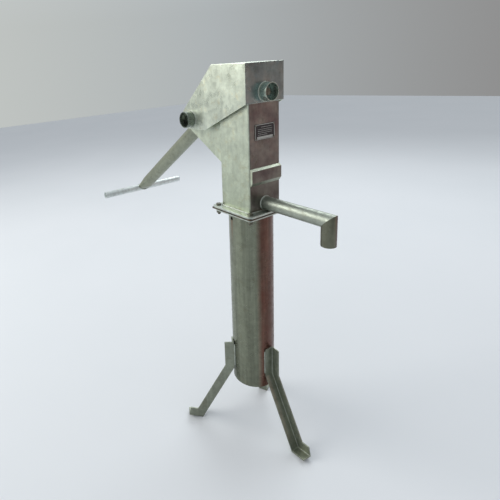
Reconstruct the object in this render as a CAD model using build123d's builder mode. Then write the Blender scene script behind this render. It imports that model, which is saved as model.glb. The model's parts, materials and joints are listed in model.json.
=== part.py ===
from build123d import *
import math
import os

# Deep-well lever hand pump: stand, head, lift-off cover, lever and pump rod.
# Frame: origin at the centre of the stand tube's lower rim, +Z up,
# +X towards the spout, +Y to the left when looking along the spout.
# Millimetres. The lever is modelled resting on its lower stop.

# ---- Stand -----------------------------------------------------------------
TUBE_OD = 165.1
TUBE_WALL = 4.5
FLANGE_SIDE = 205.0
FLANGE_CORNER = 15.0
FLANGE_T = 8.0
STAND_FLANGE_SIDE = 192.0
BOLT_PITCH = 168.0
BOLT_HOLE_R = 5.5
STAND_FLANGE_Z = 726.0
CONE_PLATE_T = 5.0
CONE_PLATE_CORNER = 2.0
WEEP_HOLE_R = 7.0
WEEP_HOLE_DROP = 18.0
WEEP_HOLE_AZIMUTH = -102.0
TUBE_SETBACK = 2.0

CONE_PLATE_Z = STAND_FLANGE_Z + FLANGE_T
HEAD_FLANGE_Z = CONE_PLATE_Z + CONE_PLATE_T
HEAD_BASE_Z = HEAD_FLANGE_Z + FLANGE_T
TUBE_R = TUBE_OD / 2

# ---- Legs: bent angle iron, three at 120 degrees ---------------------------
LEG_WIDTH = 38.0
LEG_T = 5.0
LEG_CORNER_OFFSET = 25.5
LEG_TOP_Z = 170.0
LEG_BEND_Z = 50.0
FOOT_Z = -195.0
FOOT_LENGTH = 60.0
FOOT_TILT_DEG = 12.0
# Azimuth of each leg and how far out its heel stands; the left one is steeper.
LEGS = {"front": (-4.0, 224.0), "left": (116.0, 135.0), "right": (-124.0, 224.0)}

# ---- Rising main hung from the cone plate ----------------------------------
RISER_OD = 63.0
RISER_WALL = 5.0
SPIGOT_LENGTH = 60.0
RISER_BOTTOM_Z = 330.0
SLEEVE_R = 33.5
CONE_BOTTOM_Z = 724.0
CONE_TOP_Z = 764.0
CONE_BOTTOM_R = 37.0
CONE_SLOPE = 0.25
RISER_COLLAR_R = 42.0
RISER_COLLAR_T = 12.0
HEAD_FLANGE_HOLE_R = 60.0

# ---- Head column: folded sheet, open at the back ---------------------------
BODY_SIDE = 150.0
BODY_T = 3.0
BODY_BEND_R = 7.0
BODY_TOP_Z = 1205.0
BACK_CUT_DEPTH = 12.0
BACK_PLATE_TOP_Z = 905.0
WING_FACE_Y = 63.0
WING_T = 5.0
WING_REAR_X = -272.0
WING_TOP_FRONT_Z = BODY_TOP_Z
WING_TOP_REAR_Z = 1098.0
WING_KNEE_Z = 1025.0
FLOOR_LIFT = 5.0
FLOOR_T = 3.0
FLOOR_REAR_X = -238.0
BUFFER_START = 12.0
BUFFER_END = 35.0
BUFFER_HALF_WIDTH = 22.0
BUFFER_GAP = 0.3

# ---- Front hood, name plate, spout -----------------------------------------
HOOD_FACE_TOP_Z = 901.0
HOOD_DEPTH = 10.0
HOOD_FACE = 42.0
HOOD_TOP_RISE = 8.0
HOOD_SLANT = 14.0
HOOD_HALF_WIDTH = 72.0
HOOD_T = 2.5
PLATE_WIDTH = 96.0
PLATE_HEIGHT = 55.0
PLATE_T = 1.2
PLATE_Z = 1033.5
RIVET_R = 1.6
RIVET_HEAD_R = 3.2
RIVET_INSET = 5.0
SPOUT_OD = 48.3
SPOUT_WALL = 3.25
SPOUT_Z = 773.6
SPOUT_X = 336.0
SPOUT_BOTTOM_Z = 693.0

# ---- Cover -----------------------------------------------------------------
COVER_T = 3.0
COVER_GAP_SIDE = 12.0
COVER_GAP_FRONT = 1.5
COVER_CREST_Z = 1272.0
COVER_FRONT_TOP_Z = 1267.0
COVER_FRONT_BOTTOM_Z = 1134.0
COVER_CREST_X = -91.0
COVER_KNEE = (-144.0, 1032.0)
COVER_REAR_X = -277.0
COVER_REAR_TOP_Z = 1101.0
HANDLE_SLOT_HALF = 36.0
HANDLE_SLOT_TOP_Z = 1142.0
GUARD_OD = 63.5
GUARD_WALL = 2.9
SIDE_GUARD_LENGTH = 34.0
FRONT_GUARD_LENGTH = 31.5
COVER_BOLT_Z = 1168.5
COVER_BOLT_R = 8.0
COVER_BOLT_CLEARANCE = 0.5

# ---- Lever: fulcrum, fork, tube and cross bar ------------------------------
FULCRUM_X = -226.0
FULCRUM_Z = 1071.0
FORK_REACH = 240.0
FORK_REST_DEG = 28.0
LEVER_REST_DEG = 34.9
LEVER_LENGTH = 723.6
LEVER_OD = 60.3
LEVER_WALL = 3.6
CROSS_BAR_OD = 33.7
CROSS_BAR_WALL = 3.2
CROSS_BAR_LENGTH = 466.0
FLAT_LENGTH = 70.0
FLAT_HALF_WIDTH = 37.0
FLAT_HALF_HEIGHT = 15.0
HOUSING_OD = 60.3
HOUSING_WALL = 5.0
HOUSING_HALF = 53.0
BUSH_FLANGE_T = 4.0
BUSH_FLANGE_R = 29.5
OUTER_BUSH_LENGTH = 26.0
RUNNING_CLEARANCE = 0.05
INNER_BUSH_R = 20.0
FULCRUM_PIN_R = 12.0
PIN_END_R = 10.0
FORK_T = 8.0
FORK_INNER_Y = 38.0
FORK_RING_R = 37.0
FORK_EYE_R = 24.0
HANGER_PIN_R = 10.0
HANGER_PIN_HALF = 60.0
HANGER_SPACER_R = 16.0
HANGER_BUSH_R = 20.0
HANGER_BOSS_R = 27.0
HANGER_BOSS_HALF = 30.0
HANGER_BUSH_HALF = 34.0
HANGER_NECK_R = 15.0
HANGER_DROP = 95.0
ROD_R = 6.0
ROD_ENGAGEMENT = 26.0
ROD_LENGTH = 825.0
ROD_END_R = 5.0
ROD_END_LENGTH = 30.0

# ---- Fasteners -------------------------------------------------------------
M10_AF = 17.0
M10_R = 5.0
M10_HEAD = 6.4
M10_NUT = 8.0
M10_WASHER_R = 10.0
M10_WASHER_T = 2.0
M12_AF = 18.0
M12_NUT = 10.0
M20_AF = 30.0
M20_NUT = 10.0
M20_WASHER_R = 18.5
M20_WASHER_T = 2.0
M16_AF = 24.0
M16_HEAD = 10.0
M16_NUT = 10.0
M16_WASHER_R = 15.0
M16_WASHER_T = 2.5
BOLT_TAIL = 6.0
PIN_CHAMFER = 1.0
PIN_PROUD = 1.0

HALF = BODY_SIDE / 2
RISER_R = RISER_OD / 2
SPOUT_R = SPOUT_OD / 2
LEVER_R = LEVER_OD / 2
CROSS_BAR_R = CROSS_BAR_OD / 2
GUARD_R = GUARD_OD / 2
HOUSING_R = HOUSING_OD / 2
OUTER_BUSH_R = HOUSING_R - HOUSING_WALL
COVER_INNER_Y = HALF + COVER_GAP_SIDE
COVER_OUTER_Y = COVER_INNER_Y + COVER_T
COVER_FRONT_X = HALF + COVER_GAP_FRONT + COVER_T
LEVER_DIR = Vector(
    -math.cos(math.radians(LEVER_REST_DEG)), 0, -math.sin(math.radians(LEVER_REST_DEG))
)
FULCRUM = Vector(FULCRUM_X, 0, FULCRUM_Z)
LEVER_END = FULCRUM + LEVER_DIR * LEVER_LENGTH
HANGER_PIN = FULCRUM + Vector(
    FORK_REACH * math.cos(math.radians(FORK_REST_DEG)),
    0,
    FORK_REACH * math.sin(math.radians(FORK_REST_DEG)),
)
CORNERS = GridLocations(BOLT_PITCH, BOLT_PITCH, 2, 2)
BOTH_ENDS = {"right": -1, "left": 1}

os.makedirs("parts", exist_ok=True)


def save(part, name):
    """Label one finished piece and write it as its own STEP file."""
    part.label = name
    export_step(part, f"parts/{name}.step")


def side_plane(x, y, z):
    """Plane facing +Y, with local x along +X and local y along +Z."""
    return Plane(origin=(x, y, z), x_dir=(1, 0, 0), z_dir=(0, -1, 0))


def radial_plane(azimuth, offset):
    """Upright plane through the tube axis; local x is radial, local y is up."""
    angle = math.radians(azimuth)
    outward = Vector(math.cos(angle), math.sin(angle), 0)
    across = Vector(-math.sin(angle), math.cos(angle), 0)
    return Plane(origin=across * offset, x_dir=outward, z_dir=-across)


# ============================ Stand =========================================

with BuildPart() as stand_tube:
    with BuildSketch(Plane.XY):
        Circle(TUBE_R)
        Circle(TUBE_R - TUBE_WALL, mode=Mode.SUBTRACT)
    extrude(amount=CONE_PLATE_Z - TUBE_SETBACK)
    # Weep hole just below the flange, through the right-hand wall only.
    weep = math.radians(WEEP_HOLE_AZIMUTH)
    weep_dir = Vector(math.cos(weep), math.sin(weep), 0)
    weep_origin = weep_dir * (TUBE_R / 2) + Vector(0, 0, STAND_FLANGE_Z - WEEP_HOLE_DROP)
    with BuildSketch(Plane(origin=weep_origin, z_dir=weep_dir)):
        Circle(WEEP_HOLE_R)
    extrude(amount=TUBE_R, mode=Mode.SUBTRACT)
save(stand_tube.part, "stand_tube")

with BuildPart() as stand_flange:
    with BuildSketch(Plane.XY.offset(STAND_FLANGE_Z)):
        RectangleRounded(STAND_FLANGE_SIDE, STAND_FLANGE_SIDE, FLANGE_CORNER)
        Circle(TUBE_R, mode=Mode.SUBTRACT)
        with CORNERS:
            Circle(BOLT_HOLE_R, mode=Mode.SUBTRACT)
    extrude(amount=FLANGE_T)
save(stand_flange.part, "stand_flange")

# A leg's back line runs down the tube, slants out to the heel and ends in a
# foot that rises a little towards its tip. One flange of the angle lies along
# that line, the other stands out from it on the side nearest the corner.
tilt = math.radians(FOOT_TILT_DEG)
OUT_OF_TUBE = Vector(1, 0)
OUT_OF_FOOT = Vector(-math.sin(tilt), math.cos(tilt))


def mitred(corner, one, other, depth):
    """A corner of the leg's outline moved in by depth from both its lines."""
    return corner + (one + other) * (depth / (1 + one.dot(other)))


def leg_line(heel_r, depth):
    """Points of a leg's outline, a given depth in from its back line."""
    slant = math.atan2(heel_r - TUBE_R, LEG_BEND_Z - FOOT_Z)
    out_of_slant = Vector(math.cos(slant), math.sin(slant))
    top = Vector(TUBE_R, LEG_TOP_Z)
    bend = Vector(TUBE_R, LEG_BEND_Z)
    heel = Vector(heel_r, FOOT_Z)
    tip = heel + Vector(math.cos(tilt), math.sin(tilt)) * FOOT_LENGTH
    points = [
        top + OUT_OF_TUBE * depth,
        mitred(bend, OUT_OF_TUBE, out_of_slant, depth),
        mitred(heel, out_of_slant, OUT_OF_FOOT, depth),
        tip + OUT_OF_FOOT * depth,
    ]
    return [(point.X, point.Y) for point in points]


for leg_name, (leg_azimuth, leg_heel_r) in LEGS.items():
    with BuildPart() as leg:
        for inward, across in ((LEG_T, LEG_WIDTH), (LEG_WIDTH, LEG_T)):
            with BuildSketch(radial_plane(leg_azimuth, LEG_CORNER_OFFSET)):
                with BuildLine():
                    outline = leg_line(leg_heel_r, 0)
                    outline += reversed(leg_line(leg_heel_r, inward))
                    Polyline(*outline, close=True)
                make_face()
            extrude(amount=across)
    save(leg.part, f"leg_{leg_name}")

# ============================ Rising main ===================================


def cone_radius(z):
    """Radius of the rubber cone's outside at height z."""
    return CONE_BOTTOM_R + (z - CONE_BOTTOM_Z) * CONE_SLOPE


with BuildPart() as cone_plate:
    with BuildSketch(Plane.XY.offset(CONE_PLATE_Z)):
        RectangleRounded(FLANGE_SIDE, FLANGE_SIDE, CONE_PLATE_CORNER)
        with CORNERS:
            Circle(BOLT_HOLE_R, mode=Mode.SUBTRACT)
    extrude(amount=CONE_PLATE_T)
    with BuildSketch(Plane.XY.offset(CONE_PLATE_Z)):
        Circle(cone_radius(CONE_PLATE_Z))
    with BuildSketch(Plane.XY.offset(HEAD_FLANGE_Z)):
        Circle(cone_radius(HEAD_FLANGE_Z))
    loft(mode=Mode.SUBTRACT)
save(cone_plate.part, "cone_plate")

with BuildPart() as rubber_cone:
    with BuildSketch(Plane.XZ):
        with BuildLine():
            Polyline(
                (SLEEVE_R, CONE_BOTTOM_Z),
                (CONE_BOTTOM_R, CONE_BOTTOM_Z),
                (cone_radius(CONE_TOP_Z), CONE_TOP_Z),
                (SLEEVE_R, CONE_TOP_Z),
                close=True,
            )
        make_face()
    revolve(axis=Axis.Z)
save(rubber_cone.part, "rubber_cone")

# Top sleeve of the rising main: collar on the rubber cone, thick pipe, and a
# spigot at the bottom that takes the next length of riser.
with BuildPart() as riser_sleeve:
    with BuildSketch(Plane.XY.offset(RISER_BOTTOM_Z)):
        Circle(RISER_R)
    extrude(amount=SPIGOT_LENGTH)
    with BuildSketch(Plane.XY.offset(RISER_BOTTOM_Z + SPIGOT_LENGTH)):
        Circle(SLEEVE_R)
    extrude(amount=CONE_TOP_Z - RISER_BOTTOM_Z - SPIGOT_LENGTH)
    with BuildSketch(Plane.XY.offset(CONE_TOP_Z)):
        Circle(RISER_COLLAR_R)
    extrude(amount=RISER_COLLAR_T)
    with BuildSketch(Plane.XY.offset(RISER_BOTTOM_Z)):
        Circle(RISER_R - RISER_WALL)
    extrude(amount=CONE_TOP_Z + RISER_COLLAR_T - RISER_BOTTOM_Z, mode=Mode.SUBTRACT)
save(riser_sleeve.part, "riser_sleeve")

# ============================ Head ==========================================

with BuildPart() as head_flange:
    with BuildSketch(Plane.XY.offset(HEAD_FLANGE_Z)):
        RectangleRounded(FLANGE_SIDE, FLANGE_SIDE, FLANGE_CORNER)
        Circle(HEAD_FLANGE_HOLE_R, mode=Mode.SUBTRACT)
        with CORNERS:
            Circle(BOLT_HOLE_R, mode=Mode.SUBTRACT)
    extrude(amount=FLANGE_T)
save(head_flange.part, "head_flange")

# Column: front and both sides folded from one sheet, with narrow lips turned
# in at the back that carry the wings.
with BuildPart() as head_column:
    with BuildSketch(Plane.XY.offset(HEAD_BASE_Z)):
        RectangleRounded(BODY_SIDE, BODY_SIDE, BODY_BEND_R)
        RectangleRounded(
            BODY_SIDE - 2 * BODY_T,
            BODY_SIDE - 2 * BODY_T,
            BODY_BEND_R - BODY_T,
            mode=Mode.SUBTRACT,
        )
        with Locations((-HALF, 0)):
            Rectangle(BACK_CUT_DEPTH, 2 * (WING_FACE_Y - WING_T), mode=Mode.SUBTRACT)
    extrude(amount=BODY_TOP_Z - HEAD_BASE_Z)
    # Hole for the spout.
    with BuildSketch(Plane.YZ):
        with Locations((0, SPOUT_Z)):
            Circle(SPOUT_R)
    extrude(amount=BODY_SIDE, mode=Mode.SUBTRACT)
    # Open-topped slot that lets the cover and its bolt lift straight off.
    with BuildSketch(Plane.YZ):
        with Locations((0, COVER_BOLT_Z)):
            Circle(COVER_BOLT_R + COVER_BOLT_CLEARANCE)
        with Locations((0, (COVER_BOLT_Z + BODY_TOP_Z) / 2)):
            Rectangle(2 * (COVER_BOLT_R + COVER_BOLT_CLEARANCE), BODY_TOP_Z - COVER_BOLT_Z)
    extrude(amount=BODY_SIDE, mode=Mode.SUBTRACT)
save(head_column.part, "head_column")

with BuildPart() as head_back_plate:
    with BuildSketch(Plane.XY.offset(HEAD_BASE_Z)):
        with Locations((-HALF + BODY_T / 2, 0)):
            Rectangle(BODY_T, 2 * (WING_FACE_Y - WING_T))
    extrude(amount=BACK_PLATE_TOP_Z - HEAD_BASE_Z)
save(head_back_plate.part, "head_back_plate")

# Wings: two plates behind the column that carry the fulcrum pin.
for side_name, side in BOTH_ENDS.items():
    with BuildPart() as wing:
        with BuildSketch(side_plane(0, side * (WING_FACE_Y - WING_T / 2), 0)):
            with BuildLine():
                Polyline(
                    (-HALF, BACK_PLATE_TOP_Z),
                    (-HALF, WING_TOP_FRONT_Z),
                    (COVER_CREST_X, WING_TOP_FRONT_Z),
                    (WING_REAR_X, WING_TOP_REAR_Z),
                    (WING_REAR_X, WING_KNEE_Z),
                    close=True,
                )
            make_face()
            with Locations((FULCRUM_X, FULCRUM_Z)):
                Circle(FULCRUM_PIN_R, mode=Mode.SUBTRACT)
        extrude(amount=WING_T / 2, both=True)
    save(wing.part, f"wing_{side_name}")

# Slanted floor between the wings, above their lower edges.
floor_slope = (WING_KNEE_Z - BACK_PLATE_TOP_Z) / (-HALF - WING_REAR_X)


def floor_z(x, lift):
    """Height of the floor line at x, a given lift above the wings' lower edge."""
    return BACK_PLATE_TOP_Z + floor_slope * (-HALF - x) + lift


with BuildPart() as wing_floor:
    with BuildSketch(Plane.XZ):
        with BuildLine():
            Polyline(
                (-HALF, floor_z(-HALF, FLOOR_LIFT)),
                (-HALF, floor_z(-HALF, FLOOR_LIFT + FLOOR_T)),
                (FLOOR_REAR_X, floor_z(FLOOR_REAR_X, FLOOR_LIFT + FLOOR_T)),
                (FLOOR_REAR_X, floor_z(FLOOR_REAR_X, FLOOR_LIFT)),
                close=True,
            )
        make_face()
    extrude(amount=WING_FACE_Y - WING_T, both=True)
save(wing_floor.part, "wing_floor")

with BuildPart() as front_hood:
    with BuildSketch(Plane.XZ):
        with BuildLine():
            Polyline(
                (HALF, HOOD_FACE_TOP_Z + HOOD_TOP_RISE),
                (HALF + HOOD_DEPTH, HOOD_FACE_TOP_Z),
                (HALF + HOOD_DEPTH, HOOD_FACE_TOP_Z - HOOD_FACE),
                (HALF, HOOD_FACE_TOP_Z - HOOD_FACE - HOOD_SLANT),
                close=True,
            )
        make_face()
    extrude(amount=HOOD_HALF_WIDTH, both=True)
    hood_back = front_hood.faces().sort_by(Axis.X)[0]
    offset(amount=-HOOD_T, openings=hood_back)
save(front_hood.part, "front_hood")

with BuildPart() as name_plate:
    with BuildSketch(Plane.YZ.offset(HALF)):
        with Locations((0, PLATE_Z)):
            RectangleRounded(PLATE_WIDTH, PLATE_HEIGHT, RIVET_INSET / 2)
            with GridLocations(
                PLATE_WIDTH - 2 * RIVET_INSET, PLATE_HEIGHT - 2 * RIVET_INSET, 2, 2
            ):
                Circle(RIVET_R, mode=Mode.SUBTRACT)
    extrude(amount=PLATE_T)
save(name_plate.part, "name_plate")

with BuildPart() as plate_rivets:
    with BuildSketch(Plane.YZ.offset(HALF)):
        with Locations((0, PLATE_Z)):
            with GridLocations(
                PLATE_WIDTH - 2 * RIVET_INSET, PLATE_HEIGHT - 2 * RIVET_INSET, 2, 2
            ):
                Circle(RIVET_R)
    extrude(amount=PLATE_T)
    with BuildSketch(Plane.YZ.offset(HALF + PLATE_T)):
        with Locations((0, PLATE_Z)):
            with GridLocations(
                PLATE_WIDTH - 2 * RIVET_INSET, PLATE_HEIGHT - 2 * RIVET_INSET, 2, 2
            ):
                Circle(RIVET_HEAD_R)
    extrude(amount=RIVET_R)
save(plate_rivets.part, "plate_rivets")

# Spout: level pipe and a nozzle turned down by a 45-degree mitre.
MITRE = Plane(origin=(SPOUT_X, 0, SPOUT_Z), x_dir=(0, 1, 0), z_dir=(1, 0, -1))

with BuildPart() as spout_pipe:
    with BuildSketch(Plane.YZ.offset(HALF - BODY_T)):
        with Locations((0, SPOUT_Z)):
            Circle(SPOUT_R)
            Circle(SPOUT_R - SPOUT_WALL, mode=Mode.SUBTRACT)
    extrude(amount=SPOUT_X + SPOUT_OD - HALF)
    split(bisect_by=MITRE, keep=Keep.BOTTOM)
save(spout_pipe.part, "spout_pipe")

with BuildPart() as spout_nozzle:
    with BuildSketch(Plane.XY.offset(SPOUT_BOTTOM_Z)):
        with Locations((SPOUT_X, 0)):
            Circle(SPOUT_R)
            Circle(SPOUT_R - SPOUT_WALL, mode=Mode.SUBTRACT)
    extrude(amount=SPOUT_Z + SPOUT_OD - SPOUT_BOTTOM_Z)
    split(bisect_by=MITRE, keep=Keep.TOP)
save(spout_nozzle.part, "spout_nozzle")

# ============================ Fasteners =====================================

WASHER_Z = STAND_FLANGE_Z - M10_WASHER_T
FLANGE_NUT_Z = WASHER_Z - M10_NUT
SHANK_BOTTOM_Z = FLANGE_NUT_Z - BOLT_TAIL

with BuildPart() as flange_bolts:
    with BuildSketch(Plane.XY.offset(HEAD_BASE_Z)):
        with CORNERS:
            RegularPolygon(M10_AF / 2, 6, major_radius=False)
    extrude(amount=M10_HEAD)
    with BuildSketch(Plane.XY.offset(SHANK_BOTTOM_Z)):
        with CORNERS:
            Circle(M10_R)
    extrude(amount=HEAD_BASE_Z - SHANK_BOTTOM_Z)
save(flange_bolts.part, "flange_bolts")

with BuildPart() as flange_washers:
    with BuildSketch(Plane.XY.offset(WASHER_Z)):
        with CORNERS:
            Circle(M10_WASHER_R)
            Circle(M10_R, mode=Mode.SUBTRACT)
    extrude(amount=M10_WASHER_T)
save(flange_washers.part, "flange_washers")

with BuildPart() as flange_nuts:
    with BuildSketch(Plane.XY.offset(FLANGE_NUT_Z)):
        with CORNERS:
            RegularPolygon(M10_AF / 2, 6, major_radius=False)
            Circle(M10_R, mode=Mode.SUBTRACT)
    extrude(amount=M10_NUT)
save(flange_nuts.part, "flange_nuts")

# ============================ Fulcrum =======================================

PIN_REACH = WING_FACE_Y + M20_WASHER_T + M20_NUT + PIN_PROUD

with BuildPart() as fulcrum_pin:
    with BuildSketch(side_plane(FULCRUM_X, 0, FULCRUM_Z)):
        Circle(FULCRUM_PIN_R)
    extrude(amount=WING_FACE_Y, both=True)
    with BuildSketch(side_plane(FULCRUM_X, 0, FULCRUM_Z)):
        Circle(PIN_END_R)
    extrude(amount=PIN_REACH, both=True)
    chamfer(fulcrum_pin.edges().group_by(Axis.Y)[0], length=PIN_CHAMFER)
    chamfer(fulcrum_pin.edges().group_by(Axis.Y)[-1], length=PIN_CHAMFER)
save(fulcrum_pin.part, "fulcrum_pin")

with BuildPart() as fulcrum_washers:
    for side in BOTH_ENDS.values():
        with BuildSketch(side_plane(FULCRUM_X, side * WING_FACE_Y, FULCRUM_Z)):
            Circle(M20_WASHER_R)
            Circle(PIN_END_R, mode=Mode.SUBTRACT)
        extrude(amount=-side * M20_WASHER_T)
save(fulcrum_washers.part, "fulcrum_washers")

with BuildPart() as fulcrum_nuts:
    for side in BOTH_ENDS.values():
        nut_y = side * (WING_FACE_Y + M20_WASHER_T)
        with BuildSketch(side_plane(FULCRUM_X, nut_y, FULCRUM_Z)):
            RegularPolygon(M20_AF / 2, 6, major_radius=False)
            Circle(PIN_END_R, mode=Mode.SUBTRACT)
        extrude(amount=-side * M20_NUT)
save(fulcrum_nuts.part, "fulcrum_nuts")

with BuildPart() as fulcrum_inner_bush:
    with BuildSketch(side_plane(FULCRUM_X, 0, FULCRUM_Z)):
        Circle(INNER_BUSH_R)
        Circle(FULCRUM_PIN_R, mode=Mode.SUBTRACT)
    extrude(amount=WING_FACE_Y - WING_T, both=True)
save(fulcrum_inner_bush.part, "fulcrum_inner_bush")

# ============================ Cover =========================================

# Side outline of the cover, front bottom corner first, going up and back.
COVER_OUTLINE = [
    (COVER_FRONT_X, COVER_FRONT_BOTTOM_Z),
    (COVER_FRONT_X, COVER_FRONT_TOP_Z),
    (COVER_CREST_X, COVER_CREST_Z),
    (COVER_REAR_X, COVER_REAR_TOP_Z),
    (COVER_REAR_X, COVER_KNEE[1]),
    COVER_KNEE,
]
back_rise = math.atan2(COVER_CREST_Z - COVER_REAR_TOP_Z, COVER_CREST_X - COVER_REAR_X)
crest_inset = COVER_T * math.tan(back_rise / 2)
rear_inset = COVER_T * math.tan((math.pi / 2 - back_rise) / 2)
COVER_HOLLOW = [
    (COVER_FRONT_X - COVER_T, COVER_KNEE[1] - COVER_T),
    (COVER_FRONT_X - COVER_T, COVER_FRONT_TOP_Z - COVER_T),
    (COVER_CREST_X + crest_inset, COVER_CREST_Z - COVER_T),
    (COVER_REAR_X + COVER_T, COVER_REAR_TOP_Z - rear_inset),
    (COVER_REAR_X + COVER_T, COVER_KNEE[1] - COVER_T),
]

with BuildPart() as cover_shell:
    with BuildSketch(Plane.XZ):
        with BuildLine():
            Polyline(*COVER_OUTLINE, close=True)
        make_face()
    extrude(amount=COVER_OUTER_Y, both=True)
    with BuildSketch(Plane.XZ):
        with BuildLine():
            Polyline(*COVER_HOLLOW, close=True)
        make_face()
    extrude(amount=COVER_INNER_Y, both=True, mode=Mode.SUBTRACT)
    # Slot in the back that the lever swings through.
    with BuildSketch(Plane.YZ.offset(COVER_REAR_X - COVER_T)):
        with Locations((0, (COVER_KNEE[1] + HANDLE_SLOT_TOP_Z) / 2 - HANDLE_SLOT_HALF)):
            Rectangle(2 * HANDLE_SLOT_HALF, HANDLE_SLOT_TOP_Z - COVER_KNEE[1])
        with Locations((0, HANDLE_SLOT_TOP_Z - HANDLE_SLOT_HALF)):
            Circle(HANDLE_SLOT_HALF)
    extrude(amount=COVER_CREST_X - COVER_REAR_X, mode=Mode.SUBTRACT)
    # Spanner holes at the fulcrum nuts, and the hole for the cover bolt.
    with BuildSketch(side_plane(FULCRUM_X, 0, FULCRUM_Z)):
        Circle(GUARD_R - GUARD_WALL)
    extrude(amount=2 * COVER_OUTER_Y, both=True, mode=Mode.SUBTRACT)
    with BuildSketch(Plane.YZ):
        with Locations((0, COVER_BOLT_Z)):
            Circle(COVER_BOLT_R)
    extrude(amount=BODY_SIDE, mode=Mode.SUBTRACT)
save(cover_shell.part, "cover_shell")

for side_name, side in BOTH_ENDS.items():
    with BuildPart() as side_guard:
        with BuildSketch(side_plane(FULCRUM_X, side * COVER_OUTER_Y, FULCRUM_Z)):
            Circle(GUARD_R)
            Circle(GUARD_R - GUARD_WALL, mode=Mode.SUBTRACT)
        extrude(amount=-side * SIDE_GUARD_LENGTH)
    save(side_guard.part, f"nut_guard_{side_name}")

with BuildPart() as bolt_guard:
    with BuildSketch(Plane.YZ.offset(COVER_FRONT_X)):
        with Locations((0, COVER_BOLT_Z)):
            Circle(GUARD_R)
            Circle(GUARD_R - GUARD_WALL, mode=Mode.SUBTRACT)
    extrude(amount=FRONT_GUARD_LENGTH)
save(bolt_guard.part, "bolt_guard")

COVER_NUT_X = HALF - BODY_T - COVER_BOLT_CLEARANCE

with BuildPart() as cover_bolt:
    with BuildSketch(Plane.YZ.offset(COVER_FRONT_X + M16_WASHER_T)):
        with Locations((0, COVER_BOLT_Z)):
            RegularPolygon(M16_AF / 2, 6, major_radius=False)
    extrude(amount=M16_HEAD)
    tail_x = COVER_NUT_X - M16_NUT - BOLT_TAIL / 2
    with BuildSketch(Plane.YZ.offset(tail_x)):
        with Locations((0, COVER_BOLT_Z)):
            Circle(COVER_BOLT_R)
    extrude(amount=COVER_FRONT_X + M16_WASHER_T - tail_x)
save(cover_bolt.part, "cover_bolt")

with BuildPart() as cover_washer:
    with BuildSketch(Plane.YZ.offset(COVER_FRONT_X)):
        with Locations((0, COVER_BOLT_Z)):
            Circle(M16_WASHER_R)
            Circle(COVER_BOLT_R, mode=Mode.SUBTRACT)
    extrude(amount=M16_WASHER_T)
save(cover_washer.part, "cover_washer")

with BuildPart() as cover_nut:
    with BuildSketch(Plane.YZ.offset(COVER_NUT_X - M16_NUT)):
        with Locations((0, COVER_BOLT_Z)):
            RegularPolygon(M16_AF / 2, 6, major_radius=False)
            Circle(COVER_BOLT_R, mode=Mode.SUBTRACT)
    extrude(amount=M16_NUT)
save(cover_nut.part, "cover_nut")

# ============================ Lever =========================================

with BuildPart() as lever_housing:
    with BuildSketch(side_plane(FULCRUM_X, 0, FULCRUM_Z)):
        Circle(HOUSING_R)
        Circle(OUTER_BUSH_R, mode=Mode.SUBTRACT)
    extrude(amount=HOUSING_HALF, both=True)
save(lever_housing.part, "lever_housing")

for side_name, side in BOTH_ENDS.items():
    with BuildPart() as outer_bush:
        with BuildSketch(side_plane(FULCRUM_X, side * HOUSING_HALF, FULCRUM_Z)):
            Circle(OUTER_BUSH_R)
            Circle(INNER_BUSH_R + RUNNING_CLEARANCE, mode=Mode.SUBTRACT)
        extrude(amount=side * OUTER_BUSH_LENGTH)
        with BuildSketch(side_plane(FULCRUM_X, side * HOUSING_HALF, FULCRUM_Z)):
            Circle(BUSH_FLANGE_R)
            Circle(INNER_BUSH_R + RUNNING_CLEARANCE, mode=Mode.SUBTRACT)
        extrude(amount=-side * BUSH_FLANGE_T)
    save(outer_bush.part, f"fulcrum_outer_bush_{side_name}")

# Fork arms: plates from a ring round the housing to the hanger pin's eye.
for side_name, side in BOTH_ENDS.items():
    with BuildPart() as fork_arm:
        with BuildSketch(side_plane(0, side * FORK_INNER_Y, 0)):
            with Locations((FULCRUM.X, FULCRUM.Z)):
                Circle(FORK_RING_R)
            with Locations((HANGER_PIN.X, HANGER_PIN.Z)):
                Circle(FORK_EYE_R)
            make_hull()
            with Locations((FULCRUM.X, FULCRUM.Z)):
                Circle(HOUSING_R, mode=Mode.SUBTRACT)
            with Locations((HANGER_PIN.X, HANGER_PIN.Z)):
                Circle(HANGER_PIN_R, mode=Mode.SUBTRACT)
        extrude(amount=-side * FORK_T)
    save(fork_arm.part, f"fork_arm_{side_name}")

# Lever tube, saddled onto the housing; its far end is hammered flat and saddled
# onto the cross bar.
LEVER_PLANE = Plane(origin=FULCRUM, x_dir=(0, 1, 0), z_dir=LEVER_DIR)
FLAT_START = LEVER_LENGTH - FLAT_LENGTH

with BuildPart() as lever_tube:
    for inset, mode in ((0, Mode.ADD), (LEVER_WALL, Mode.SUBTRACT)):
        with BuildSketch(LEVER_PLANE):
            Circle(LEVER_R - inset)
        extrude(amount=FLAT_START, mode=mode)
        with BuildSketch(LEVER_PLANE.offset(FLAT_START)):
            Circle(LEVER_R - inset)
        with BuildSketch(LEVER_PLANE.offset(LEVER_LENGTH)):
            Ellipse(FLAT_HALF_WIDTH - inset, FLAT_HALF_HEIGHT - inset)
        loft(mode=mode)
    with BuildSketch(side_plane(FULCRUM.X, 0, FULCRUM.Z)):
        Circle(HOUSING_R)
    extrude(amount=LEVER_OD, both=True, mode=Mode.SUBTRACT)
    with BuildSketch(side_plane(LEVER_END.X, 0, LEVER_END.Z)):
        Circle(CROSS_BAR_R)
    extrude(amount=LEVER_OD, both=True, mode=Mode.SUBTRACT)
save(lever_tube.part, "lever_tube")

with BuildPart() as cross_bar:
    with BuildSketch(side_plane(LEVER_END.X, 0, LEVER_END.Z)):
        Circle(CROSS_BAR_R)
        Circle(CROSS_BAR_R - CROSS_BAR_WALL, mode=Mode.SUBTRACT)
    extrude(amount=CROSS_BAR_LENGTH / 2, both=True)
save(cross_bar.part, "cross_bar")

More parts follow.
